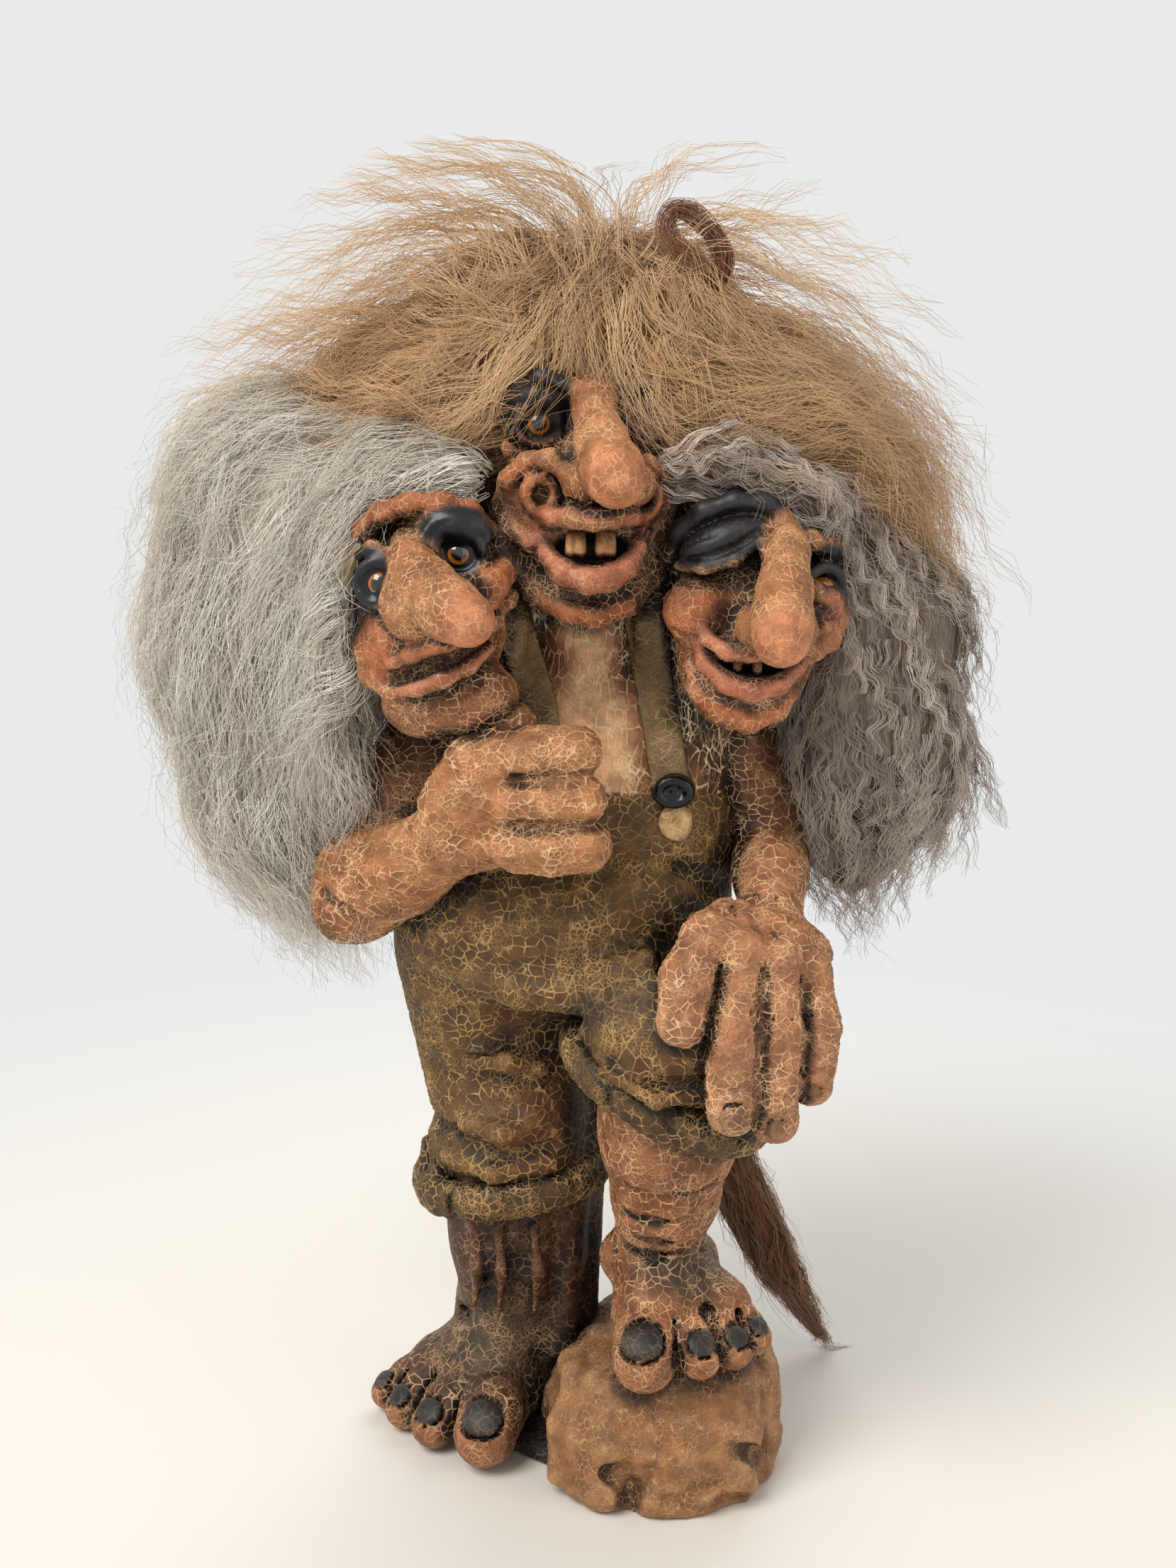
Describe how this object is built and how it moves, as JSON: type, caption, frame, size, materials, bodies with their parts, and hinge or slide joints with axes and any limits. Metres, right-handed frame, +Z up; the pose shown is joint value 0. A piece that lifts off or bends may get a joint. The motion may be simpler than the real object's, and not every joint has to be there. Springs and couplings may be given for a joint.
{
  "type": "norwegian troll figure",
  "caption": "Standing three-headed folk troll with wool wigs, glass eyes, braces, rolled trousers, one foot on a rock.",
  "frame": {"origin": "on the resting plane, under the web that joins the standing foot and the rock", "axes": "+Z up, -Y towards the figure's front, +X to the viewer's right as the figure is faced"},
  "size_m": [0.349, 0.1965, 0.5145],
  "materials": {
    "painted_skin": "crackled paint on moulded latex, matte",
    "painted_trousers": "crackled olive-brown paint on moulded latex, matte",
    "painted_rock": "sandy brown crackled paint, matte",
    "painted_strap": "crackled olive-tan paint, matte",
    "painted_cream": "cream crackled paint, matte",
    "dark_recess": "near-black shading paint, matte",
    "black_enamel": "gloss",
    "plaster": "rough cast plaster weight",
    "foam": "expanded foam filling",
    "hide": "sheepskin backing",
    "white_wool": "loose fleece",
    "tan_wool": "loose wavy wool",
    "grey_wool": "loose curly wool",
    "tail_wool": "combed wool",
    "eye_glass": "polished glass dome",
    "eye_amber": "amber iris with a black pupil, painted behind glass",
    "tooth_cream": "painted cream"
  },
  "bodies": {
    "root": {"standing_foot": "painted_skin", "standing_shin": "painted_skin", "raised_foot": "painted_skin", "raised_shin": "painted_skin", "rock_skin": "painted_rock", "rock_weight": "plaster", "base_web": "dark_recess", "body_foam": "foam", "torso_skin": "painted_skin", "trouser_seat": "painted_trousers", "standing_trouser_leg": "painted_trousers", "raised_trouser_leg": "painted_trousers", "standing_cuff": "painted_trousers", "raised_cuff": "painted_trousers", "fist": "painted_skin", "fist_forearm": "painted_skin", "fist_upper_arm": "painted_skin", "resting_hand": "painted_skin", "resting_forearm": "painted_skin", "resting_upper_arm": "painted_skin", "left_brace": "painted_strap", "right_brace": "painted_strap", "brace_button": "black_enamel", "brace_tab": "painted_cream", "tail_stub": "painted_trousers", "tail_wool": "tail_wool", "middle_head_skin": "painted_skin", "middle_head_foam": "foam", "middle_wig_backing": "hide", "left_head_skin": "painted_skin", "left_head_foam": "foam", "left_wig_backing": "hide", "right_head_skin": "painted_skin", "right_head_foam": "foam", "right_wig_backing": "hide", "left_wig_wool": "white_wool", "middle_wig_wool": "tan_wool", "right_wig_wool": "grey_wool", "middle_head_teeth": "tooth_cream", "right_head_teeth": "tooth_cream", "middle_head_left_eye_glass": "eye_glass", "middle_head_left_eye_iris": "eye_amber", "middle_head_right_eye_glass": "eye_glass", "middle_head_right_eye_iris": "eye_amber", "left_head_left_eye_glass": "eye_glass", "left_head_left_eye_iris": "eye_amber", "left_head_right_eye_glass": "eye_glass", "left_head_right_eye_iris": "eye_amber", "right_head_right_eye_glass": "eye_glass", "right_head_right_eye_iris": "eye_amber"}
  },
  "joints": []
}
